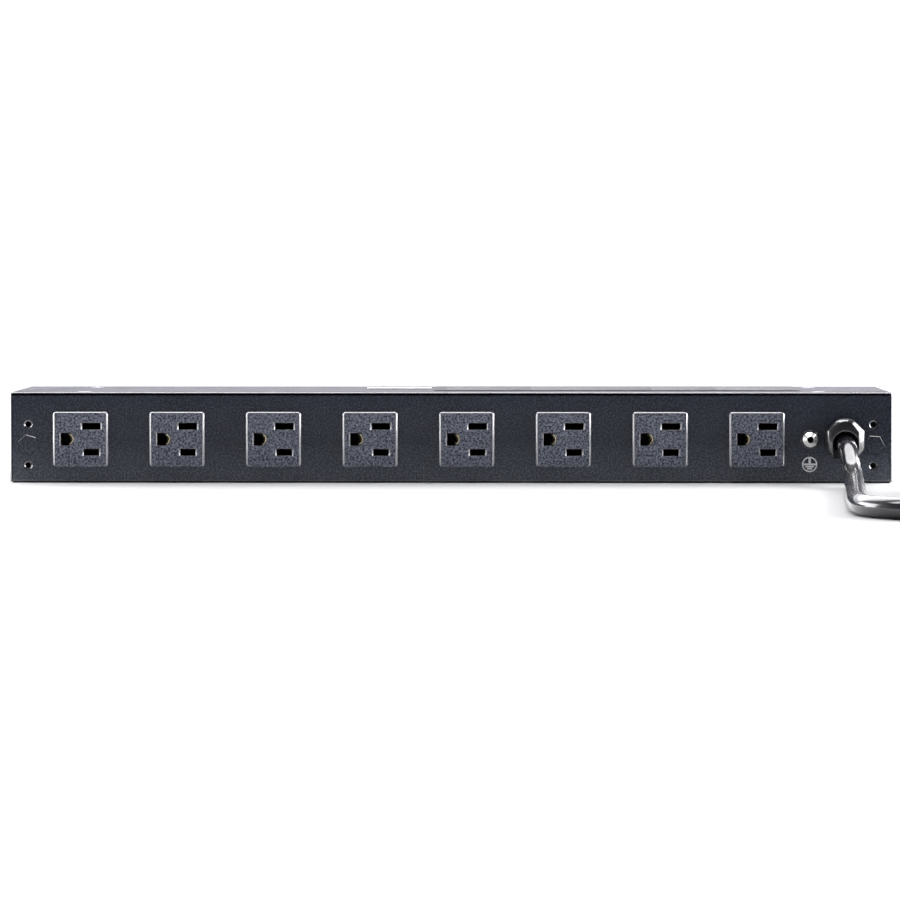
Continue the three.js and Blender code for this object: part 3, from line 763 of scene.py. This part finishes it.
def make_cover():
    x, low, top, t = cover_high.x, COVER_FOOT, cover_high.z, COVER_SHEET

    def section(inset):
        a = x - 1.7 * inset
        outside = [(-a, low), (-a, top - inset), (a, top - inset), (a, low)]
        inside = [(-x + 1, low), (-x + 1, top - t), (x - 1, top - t), (x - 1, low)]
        return filleted(outside, 1.1 - 0.4 * inset, 6) + filleted(inside, 0.3, 6)[::-1]

    edge_rounding = ((0.5, 0.0), (0.42, 0.03), (0.03, 0.42), (0.0, 0.5))
    layers = [(section(inset), REAR_Y + back) for inset, back in edge_rounding]
    layers += [(section(inset), FRONT_Y - back) for inset, back in reversed(edge_rounding)]
    # Painted highlight: the rounding bands along the rear and front edges take the lighter edge colour; the
    # flat faces and end caps keep the paint.
    paint, highlight_edge = 0, 1
    bm = painted_bands(layers, [highlight_edge] * 3 + [paint] + [highlight_edge] * 3)
    for face in bm.faces:
        if len(face.verts) > 4:
            face.material_index = paint
    cover = object_of(bm, "casing_cover", COVER_PAINT, EDGE_HIGHLIGHT)
    cutters = []
    for name, place in SCREW_PLACES.items():
        sink = lathe([(1.9, -6), (1.9, -1.25), (3.25, -0.12), (3.45, 0), (4.0, 0.4)], on_top, count=32)
        bmesh.ops.transform(sink, matrix=screw_seat(name, place), verts=sink.verts)
        # The countersinks take the painted highlight colour too.
        for face in sink.faces:
            face.material_index = highlight_edge
        cutters.append(sink)
    cut(cover, cutters)
    finished(cover, ["top_cover"])


def cross_recess(width, length, depth):
    """A Phillips recess as two crossed wedges, each cut in turn."""
    return [
        loft([(rounded(a, b, 0.12, 2), 0.3), (rounded(a * 0.92, b * 0.92, 0.12, 2), 0),
              (rounded(a * 0.4, b * 0.6, 0.1, 2), -depth)], on_top)
        for a, b in ((length, width), (width, length))
    ]


def make_screws():
    head = lathe([(0.01, 0.06), (1.2, 0.05), (2.5, -0.02), (2.95, -0.12), (3.0, -0.24), (1.5, -1.3),
                  (1.5, -6.9), (0.01, -7)][::-1], on_top, count=36)
    screw = object_of(head, "screw", ZINC)
    for wedge in cross_recess(0.75, 3.4, 1.3):
        cut(screw, [wedge])
    turn_step = 37                # so that no two recesses point the same way
    for i, (name, place) in enumerate(SCREW_PLACES.items()):
        turn = Matrix.Rotation(math.radians(turn_step * i), 4, "Z")
        copied(screw, f"fixing_{name}", screw_seat(name, place) @ turn, [name])
    bpy.data.objects.remove(screw)


def make_clinches():
    for name, place in CLINCHES.items():
        turn, face, at = CLINCH_TURN[name], REAR_Y - 0.15, (place.x, 0, place.z)
        head = loft([(hexagon(8.6, turn), face), (hexagon(9.2, turn), face + 0.3),
                     (hexagon(9.2, turn), face + 1.0)], at=at)
        barrel = lathe([(3.5, face + 1.0), (3.5, face + 17.6), (3.1, face + 18)], at=at)
        clinch = object_of(joined(head, barrel), f"flush_{name}", PAINT, SEAM)
        for polygon in clinch.data.polygons:
            if 0.1 < abs(polygon.normal.y) < 0.95 and polygon.center.y < face + 0.3:
                polygon.material_index = 1
        finished(clinch, [name])


def make_labels():
    for name, material, overlay, radius, slot in (
        ("blank_label", LABEL, LABEL_BAND, 1.2, "label_white"),
        ("rating_label", LABEL_DARK, FIELD_PRINT, 2.0, "casing_paint"),
    ):
        low, high = box_mm(name)
        size, centre = high - low, (low + high) / 2
        high.z = low.z + 0.07
        outline, inner = (rounded(size.x - less, size.y - less, radius, centre=(centre.x, centre.y))
                          for less in (0, 0.1))
        film = loft([(outline, low.z), (outline, high.z - 0.02), (inner, high.z)], on_top)
        piece = object_of(film, f"{name}_film", material, overlay)
        if name == "rating_label":
            added(piece, print_fields(low, high), 1)
        else:
            # A near-black band over the label's far part and just past its far edge.
            band = block((low.x, low.y + 22, high.z - 0.03), (high.x, high.y + 1.5, high.z + 0.03))
            added(piece, [band], 1)
        finished(piece, [name])


def print_fields(low, high):
    """Blank ruled fields, where such a label has its print."""
    bars = []
    x0, y0, z = low.x + 6, low.y + 5, high.z
    columns = ((0, 34), (42, 52), (102, 26), (134, 34))        # start and width
    lengths = (1.0, 0.72, 0.88, 0.6, 0.8, 0.5)                 # shares of the width, row by row
    for column, (start, width) in enumerate(columns):
        for row in range(11 + column % 2):
            length = width * lengths[(row + column) % len(lengths)]
            y = y0 + row * 4.5 + (column % 2) * 0.8
            bars.append(block((x0 + start, y, z - 0.03), (x0 + start + length, y + 0.8, z + 0.02)))
    return bars


# ---- outlets
SLOT_X, SLOT_RISE, SLOT_HIGH = 5.3, 6.35, 3.35
GROUND_LEFT, GROUND_RIGHT, GROUND_HALF = -9.6, -3.3, 3.0


def d_outline(left, right, half):
    """Flat on its left side and round on its right side."""
    return [(left, half), (left, -half)] + arc((right - half, 0), half, -90, 90, 14)


# Face, rim with painted highlight, and inside with painted shade.
FACE, EDGE, INSIDE = 0, 1, 2                # an outlet's materials


def slot_cutter(wide, x, z):
    """Funnel, slot and contact chamber."""
    steps = ((2.7, 1.3, -2.6), (1.9, 0.6, -2.2), (1.3, 0.06, -1.96), (0.1, 0.02, -1.48), (0, 0, -1.4),
             (0, 0, 1.8))
    layers = [(rounded(wide + a, SLOT_HIGH + b, 0.15, 2), y) for a, b, y in steps]
    layers += [(rounded(10, 5, 0.25, 2), y) for y in (1.81, 17)]
    # The funnel walls take the painted highlight; the slot and its chamber take the painted shade.
    return painted_bands(layers, [EDGE] * 4 + [INSIDE] * 3, at=(x, 0, z))


def ground_cutter():
    """The same for the ground pin."""
    steps = ((1.02, 0.5, -2.5), (0.68, 0.34, -2.2), (0.04, 0.02, -1.64), (0, 0, -1.5), (0, 0, 1.8))
    layers = [(d_outline(GROUND_LEFT - a, GROUND_RIGHT + b, GROUND_HALF + b), y) for a, b, y in steps]
    layers += [(d_outline(-10.9, -2.5, 3.3), y) for y in (1.81, 17)]
    # The same painted highlight on the funnel and painted shade inside.
    return painted_bands(layers, [EDGE] * 3 + [INSIDE] * 3)


def make_outlets():
    """One face with a glossy rim, its upper and side edges painted lighter as a highlight, cut and then
    copied to every place.
    """
    size, corner = 27, 1.5
    rim = ((0, -0.3), (0, -1.3), (0.03, -1.4), (0.09, -1.49), (0.5, -2.06), (0.57, -2.13), (0.66, -2.18),
           (0.76, -2.2), (0.86, -2.08))
    layers = [(rounded(size - 2.9 * a, size - 2 * a, corner - a), y) for a, y in rim]
    # The rim's rounding bands take the painted highlight, the small step inside it the painted shade.
    plate = painted_bands(layers, [FACE, *[EDGE] * 6, INSIDE])
    plate.faces.ensure_lookup_table()
    plate.faces[-1].material_index = FACE
    # Painted highlight: rim faces that turn downwards keep the face colour, so only the upper and side rims
    # look lit.
    for polygon in plate.faces:
        if polygon.material_index == EDGE and polygon.normal.z < -0.4:
            polygon.material_index = FACE
    outlet = object_of(plate, "outlet", OUTLET, OUTLET_HIGHLIGHT, RECESS_SHADE)
    cut(outlet, [prism(rounded(25.2, 25.2, 0.9), -0.4, 18)], "UNION")
    cut(outlet, [slot_cutter(8.9, SLOT_X, SLOT_RISE), slot_cutter(7.4, SLOT_X, -SLOT_RISE), ground_cutter()])
    for names, y, turn in ((REAR_OUTLETS, REAR_Y, 0), (FRONT_OUTLETS, FRONT_Y, 180)):
        for name in names:
            copied(outlet, f"{name}_moulding", placed(middle(name).x, y, OUTLET_Z, turn),
                   [name])
    bpy.data.objects.remove(outlet)


def ribbon(points, thickness):
    """The outline of a thin strip along the points."""
    line = [Vector(p) for p in points]
    sides = ([], [])
    for i, p in enumerate(line):
        along = (line[min(i + 1, len(line) - 1)] - line[max(i - 1, 0)]).normalized()
        across = Vector((-along.y, along.x)) * thickness / 2
        sides[0].append(tuple(p + across))
        sides[1].append(tuple(p - across))
    return sides[0] + sides[1][::-1]


def blade_leaves(x, z):
    """Two spring leaves that close on a blade, in the rear panel's frame."""
    leaves = []
    for side in (-1, 1):
        line = [(-26.3, 1.2), (-31, 1.2), (-36.5, 0.3), (-38, 0.3), (-41, 2.0)]
        outline = ribbon([(y, side * rise) for y, rise in line], 0.45)
        leaves.append(prism(outline, x + SLOT_X - 3, x + SLOT_X + 3, on_side, (0, 0, z)))
    return leaves


def ground_sleeve(x, z):
    """Sprung half sleeve whose lip shows in the round side of the ground hole."""
    def crescent(centre, radius, half_sweep=64, thick=0.35):
        return (arc((centre, 0), radius, -half_sweep, half_sweep, 12)
                + arc((centre, 0), radius - thick, half_sweep, -half_sweep, 12))

    layers = [(crescent(-6.27, 2.75), -46.0), (crescent(-6.95, 2.7), -45.1), (crescent(-7.4, 2.7), -44.1),
              (crescent(-7.4, 2.7), -26.3)]
    return loft(layers, at=(x, 0, z))


def make_bus_bars():
    """Drawn in the rear panel's frame; the front ones are turned round at the end."""
    rises = {"neutral": SLOT_RISE, "ground": 0, "line": -SLOT_RISE}
    for front in (False, True):
        for row, rise in rises.items():
            name = f"front_bus_{row}" if front else f"bus_{row}"
            low, high = box_mm(name)
            if front:
                low.x, high.x = -high.x, -low.x
            z = OUTLET_Z + rise
            bar = rounded(high.x - low.x, 3.6, 0.8, centre=((low.x + high.x) / 2, z))
            parts = [prism(bar, -26.3, -25.4)]
            for outlet in (FRONT_OUTLETS if front else REAR_OUTLETS):
                x = middle(outlet).x * (-1 if front else 1)
                parts += [ground_sleeve(x, z)] if row == "ground" else blade_leaves(x, z)
            bus = object_of(joined(*parts), f"{name}_contacts", BRASS if row == "ground" else BRASS_SHADED)
            if front:
                settled(bus, Matrix.Rotation(math.pi, 4, "Z"))
            finished(bus, [name])


# ---- grounding post and its mark
def make_ground_post():
    """A turned post on its washer, with a threaded bore and a nut inside the casing."""
    y, at = REAR_Y, (POST.x, 0, POST.z)
    # Painted shade on the washer's faces, painted highlight on its chamfer.
    profile = ((2.7, -1.12), (4.3, -1.1), (4.6, -0.85), (4.6, -0.3))
    washer = painted_bands([(circle(r, 64), y + w) for r, w in profile], [0, 1, 0], at)
    washer = object_of(washer, "post_washer", WASHER_SHADE, WASHER_HIGHLIGHT)
    cut(washer, [prism(circle(2.6, 48), y - 3, y + 1, at=at)])
    finished(washer, ["ground_washer"])

    back = box_mm("ground_post")[1].y
    profile = ((1.6, -5.3), (1.75, -5.35), (3.55, -3.72), (3.68, -3.6), (3.75, -3.45), (3.75, -1.35),
               (3.6, -1.15), (2.2, -1.1))
    shape = lathe([*((r, y + w) for r, w in profile), (2.2, back - 0.4), (1.9, back)], at=at, count=72)
    post = object_of(shape, "post_head", TURNED, RECESS_SHADE)
    # Painted shade: the bore beyond its mouth takes the near-black recess colour.
    profile = ((1.7, -5.8), (1.62, -5.3), (1.5, -5.15), (1.5, -4.0), (1.28, -3.85), (1.45, -3.7),
               (1.28, -3.5), (1.45, -3.3), (1.45, 2))
    cut(post, [painted_bands([(circle(r), y + w) for r, w in profile], [0, 0, *[1] * 6], at)])
    finished(post, ["ground_post"])

    low, high = box_mm("ground_nut")
    sides = [(hexagon(7.7), low.y), (hexagon(8.2), low.y + 0.4), (hexagon(8.2), high.y - 0.4),
             (hexagon(7.7), high.y)]
    nut = object_of(loft(sides, at=at), "post_nut", NICKEL)
    cut(nut, [prism(circle(2.6), low.y - 1, high.y + 1, at=at)])
    finished(nut, ["ground_nut"])


def make_earth_mark():
    """The plain earth sign in white print below the post."""
    x, z = POST.x - 0.1, OUTLET_Z - 12.2
    out, under = REAR_Y - 0.04, REAR_Y + 0.06
    ring = turned_ring([(3.1, under), (3.75, under), (3.75, out), (3.1, out)], at=(x, 0, z), count=64)
    bars = [block((x - 0.6, out, z + 0.52), (x + 0.6, under, z + 3.12))]
    for width, drop, thick in ((6.3, 0.4, 0.9), (4.2, 1.4, 0.8), (2.6, 2.45, 0.9)):
        bars.append(block((x - width / 2, out, z - drop), (x + width / 2, under, z - drop + thick)))
    finished(object_of(joined(ring, *bars), "earth_mark", PRINT), None)


# ---- strain relief
def make_strain_relief():
    """A glossy clamp hood: domed top, broad soft shoulders and an arch that the cord leaves by."""
    x, y, z = RELIEF.x, REAR_Y, RELIEF_Z
    leg, flat, top = -9.6, 9.75, 10.7

    def hood(side, above):
        """The eight-sided outline with its arched top, drawn in by side and above."""
        right = [(5.7 - side * 0.2, leg + above * 0.4), (flat - side, -4.6 + above * 0.4),
                 (flat - side, 4.5 - above * 0.5)]
        crown = [(u * (1 - 0.35 * side / 4.6), v) for u, v in arc((0, 0), top - above, 63, 117, 16)]
        return right + crown + [(-u, v) for u, v in right[::-1]]

    layers = ((0, 0, -0.3), (0.3, 0.05, -5), (0.5, 0.12, -7.9), (0.62, 0.16, -8.1), (1.55, 0.45, -9.15),
              (1.68, 0.52, -9.27), (3.2, 1.5, -10.4), (3.35, 1.6, -10.5), (3.6, 1.8, -10.6))
    relief = object_of(loft([(hood(side, above), y + out) for side, above, out in layers], at=(x, 0, z)),
                       "relief_hood", GLOSS, RECESS_SHADE)
    barrel = lathe([(7.8, y - 0.5), (7.8, y + 8.4), (7.2, y + 9)], at=(x, 0, z), count=48)
    cut(relief, [barrel], "UNION")
    half, arch_z = 5.9, -2.1
    steps = ((0.75, -11.2), (0.55, -10.6), (0.12, -10.1), (0.0, -9.4), (0.0, -1.8))
    arch = []
    for wider, out in steps:
        h = half + wider
        outline = [(-h, leg - 3), (h, leg - 3)] + arc((0, arch_z), h, 0, 180, 24)
        arch.append((outline, y + out))
    # Painted shade: the arch's inner walls and the cord's bore take the near-black matt recess colour.
    cut(relief, [painted_bands(arch, [0, 0, 1, 1], at=(x, 0, z))])
    cut(relief, [lathe([(5.1, y - 3), (5.1, y + 11)], at=(x, 0, EXIT_Z), count=32)], material=1)
    finished(relief, ["strain_relief"], smooth=32)


# ---- switch and breaker
ROCKER_HALF = 12.4                          # half of the face, end to end
ROCKER_END, ROCKER_DIP = -4.5, 2.5          # where the face is at its ends, and the dip to its middle
ROCKER_PIVOT = 3                            # how far its axis is inside the panel
ROCKER_LEAN = 11                            # half of the rocker's range


def rocker_level(u):
    return ROCKER_END + ROCKER_DIP * (1 - abs(u) / ROCKER_HALF) ** 1.6


def make_switch():
    """Drawn with the panel's front at zero and the outside below it."""
    shells = loft([(rounded(32, 25, 2.2), -0.3), (rounded(32, 25, 2.2), -1.5),
                   (rounded(31.5, 24.5, 2.0), -2.05), (rounded(30.6, 23.6, 1.8), -2.3)])
    housing = object_of(shells, "switch_housing", SWITCH)
    cut(housing, [prism(rounded(29.4, 21.4, 1.0), -0.4, 20)], "UNION")
    cut(housing, [loft([(rounded(29.0, 17.6, 0.8), -3), (rounded(28.4, 17, 0.6), -1.9),
                        (rounded(28.4, 17, 0.6), 16)])])
    cut(housing, [prism(circle(1.85, 24), -12, 12, on_top, at=(0, ROCKER_PIVOT, 0))])
    cut(housing, [block((x - 1.3, 15, -3.3), (x + 1.3, 21, 3.3)) for x in (0, -9)])
    bevelled(housing, 0.15)
    settled(housing, placed(SWITCH_AT.x, FRONT_Y, SWITCH_AT.z, 180))
    finished(housing, ["rocker_housing"])

    left = [(u, rocker_level(u)) for u in (ROCKER_HALF * (i / 6 - 1) for i in range(7))]
    right = [(-u, v) for u, v in left[-2::-1]]
    back = [(12, 4), (5, 7), (0, 8), (-5, 7), (-12, 4)]
    outline = [(u, v - ROCKER_PIVOT) for u, v in left + right + back]
    rocker = object_of(prism(outline, -8.1, 8.1, on_top), "rocker_paddle", SWITCH)
    bevelled(rocker, 0.5, 3, 40)
    cut(rocker, [prism(circle(1.5, 24), -9.9, 9.9, on_top)], "UNION")
    seat = placed(SWITCH_AT.x, FRONT_Y - ROCKER_PIVOT, SWITCH_AT.z, 180 + ROCKER_LEAN)
    settled(rocker, seat)
    finished(rocker, ["rocker"], "rocker_body")

    under, out = -6.72, -6.95
    bar = block((-0.55, out, -2.6), (0.55, under, 2.6))
    ring = turned_ring([(2.1, under), (2.8, under), (2.8, out), (2.1, out)], count=40)
    marks = []
    for mark, x in ((bar, -8.2), (ring, 8.2)):
        slope = ROCKER_DIP * 1.6 / ROCKER_HALF * (1 - abs(x) / ROCKER_HALF) ** 0.6
        turn = Matrix.Rotation(math.atan(slope) * (1 if x < 0 else -1), 4, "Z")
        seated = placed(x, rocker_level(x) - ROCKER_PIVOT + 0.06, 0) @ turn @ placed(0, 6.8, 0)
        bmesh.ops.transform(mark, matrix=seated, verts=mark.verts)
        marks.append(mark)
    signs = settled(object_of(joined(*marks), "rocker_marks", PRINT), seat)
    finished(signs, None, "rocker_body")


def make_breaker():
    collar = object_of(loft([(hexagon(13.6), -0.3), (hexagon(14.0), -0.7), (hexagon(14.0), -2.5),
                             (hexagon(13.3), -3.0)]), "breaker_nut", NICKEL)
    cut(collar, [prism(circle(5.9, 36), -4, 1)])
    profile = [(0.01, -10.3), (1.6, -10.2), (2.7, -9.8), (3.15, -9.2), (3.3, -8.4), (3.3, 2.5)]
    button = object_of(lathe(profile), "reset_button", RESET)
    shell = loft([(rounded(15, 24, 1.5), 1.5), (rounded(15, 24, 1.5), 30.6), (rounded(14.2, 23.2, 1.2), 31)])
    case = object_of(shell, "breaker_case", SWITCH)
    thread = [(5.5, 1.6)] + [(5.5 - 0.35 * (i % 2), 1.0 - 0.5 * i) for i in range(14)] + [(5.2, -6.6)]
    cut(case, [lathe(thread, count=36)], "UNION")
    cut(case, [lathe([(3.9, -7.6), (3.9, -6.5), (3.7, -6.2), (3.7, 6)], count=36)])
    cut(case, [block((-3, 30, z - 2.5), (3, 37, z + 2.5)) for z in (-6, 6)], "UNION")
    for piece, node, slot, body in (
        (collar, "breaker_collar", "nickel", "casing"),
        (button, "breaker_button", "reset_plastic", "reset_body"),
        (case, "breaker_body", "switch_plastic", "casing"),
    ):
        settled(piece, placed(BREAKER_AT.x, FRONT_Y, BREAKER_AT.z, 180))
        finished(piece, [node], body)


# ---- plug and tie
def make_plug():
    """Ribbed sleeve, waisted grip, two blades and the ground pin. Returns the pieces."""
    pieces = []
    low, high = plug_low, plug_high
    x, z, back = (low.x + high.x) / 2, (low.z + high.z) / 2, high.y
    ribs = []
    for i in range(33):
        s = i / 32
        radius = 5.4 + 2.8 * s
        groove = 0.75 if i % 4 in (2, 3) and 3 < i < 30 else 0.0
        ribs.append((radius - groove, -20 * s))
    sleeve_part = lathe(ribs, at=(x, back, z), count=40)
    grip = []
    for i in range(41):
        s = i / 40
        y = -19.4 - (back - low.y - 19.4) * s
        nose = math.sqrt(max(0.0, 1 - max(0.0, 1 - s / 0.16) ** 2))
        front = 1 - 0.09 * max(0.0, (s - 0.92) / 0.08) ** 2
        waist = 1 - 0.075 * math.sin(math.pi * min(max((s - 0.18) / 0.6, 0), 1)) ** 2
        ridge = 0.4 if 0.3 < s < 0.68 and i % 3 == 0 else 0.0
        width = (15 + 11 * nose) * waist * front - ridge
        tall = (14 + 7.2 * nose) * front
        grip.append((rounded(width, tall, min(width, tall) * 0.36, 6), y))
    body = object_of(loft(grip, at=(x, back, z)), "plug_moulding", CORD_MATT)
    cut(body, [sleeve_part], "UNION")
    pieces.append(finished(body, ["plug_body"], smooth=50))

    for node in ("plug_blade_line", "plug_blade_neutral"):
        low, high = box_mm(node)
        outline = [(low.y, low.z + 1.3), (low.y, high.z - 1.3), (low.y + 1.5, high.z), (high.y, high.z),
                   (high.y, low.z), (low.y + 1.5, low.z)]
        blade = object_of(prism(outline, low.x, high.x, on_side), f"{node}_brass", BRASS_PLATED)
        hole = circle(1.5, 24, centre=(low.y + 4.0, middle(node).z))
        cut(blade, [prism(hole, low.x - 1, high.x + 1, on_side)])
        bevelled(blade, 0.2)
        pieces.append(finished(blade, [node]))

    low, high = box_mm("plug_ground_pin")
    centre, r = middle("plug_ground_pin"), (high.x - low.x) / 2
    tip = [(r * math.cos(a), low.y + r * (1 - math.sin(a))) for a in map(math.radians, (88, 70, 50, 30, 10))]
    pin = lathe(tip + [(r, low.y + r), (r, high.y)], at=(centre.x, 0, centre.z), count=32)
    pin = object_of(pin, "plug_pin_brass", BRASS_PLATED)
    pieces.append(finished(pin, ["plug_ground_pin"]))
    return pieces


def make_tie():
    """A hook-and-loop strap round the middle of the hank."""
    width, thick = 13, 0.7
    centre_z = (hank_low.z + hank_high.z) / 2
    across, tall = hank_high.x - hank_low.x + 0.3, hank_high.z - hank_low.z + 0.1
    y = HANK_Y + HANK_RUN * 0.55
    inner = rounded(across, tall, 5.5, 6, centre=(HANK_X, centre_z))
    outer = rounded(across + 2 * thick, tall + 2 * thick, 6.1, 6, centre=(HANK_X, centre_z))
    near, far = y - width / 2, y + width / 2
    band = loft([(outer, near), (outer, far), (inner, far), (inner, near)], ring=True)
    top = centre_z + tall / 2 + thick
    end = prism(rounded(34, width - 0.6, 3, 6, centre=(HANK_X + 22, y)), top - 0.05, top + 0.6, on_top)
    tie = object_of(joined(band, end), "hank_tie", STRAP)
    return finished(tie, None)


# ---- carried-over solids
KEPT = (
    (FIBRE, ["insulation_sheet"]),
    (BRASS_SHADED, ["contact_lever", "switch_tab_feed", "switch_tab_load"]),
    (WIRE_BLACK, ["jumper_line", "wire_line_in", "wire_line_switched", "wire_line_out"]),
    (WIRE_WHITE, ["jumper_neutral", "wire_neutral"]),
    (WIRE_GREEN, ["jumper_ground", "wire_ground"]),
)


def dress_kept():
    for material, nodes in KEPT:
        for node in nodes:
            mesh = bpy.data.objects[node].data
            mesh.materials.clear()
            mesh.materials.append(material)


make_chassis()
make_cover()
make_screws()
make_clinches()
make_labels()
make_outlets()
make_bus_bars()
make_ground_post()
make_earth_mark()
make_strain_relief()
make_switch()
make_breaker()
PLUG_PIECES = make_plug()
make_cord([*PLUG_PIECES, make_tie()])
dress_kept()
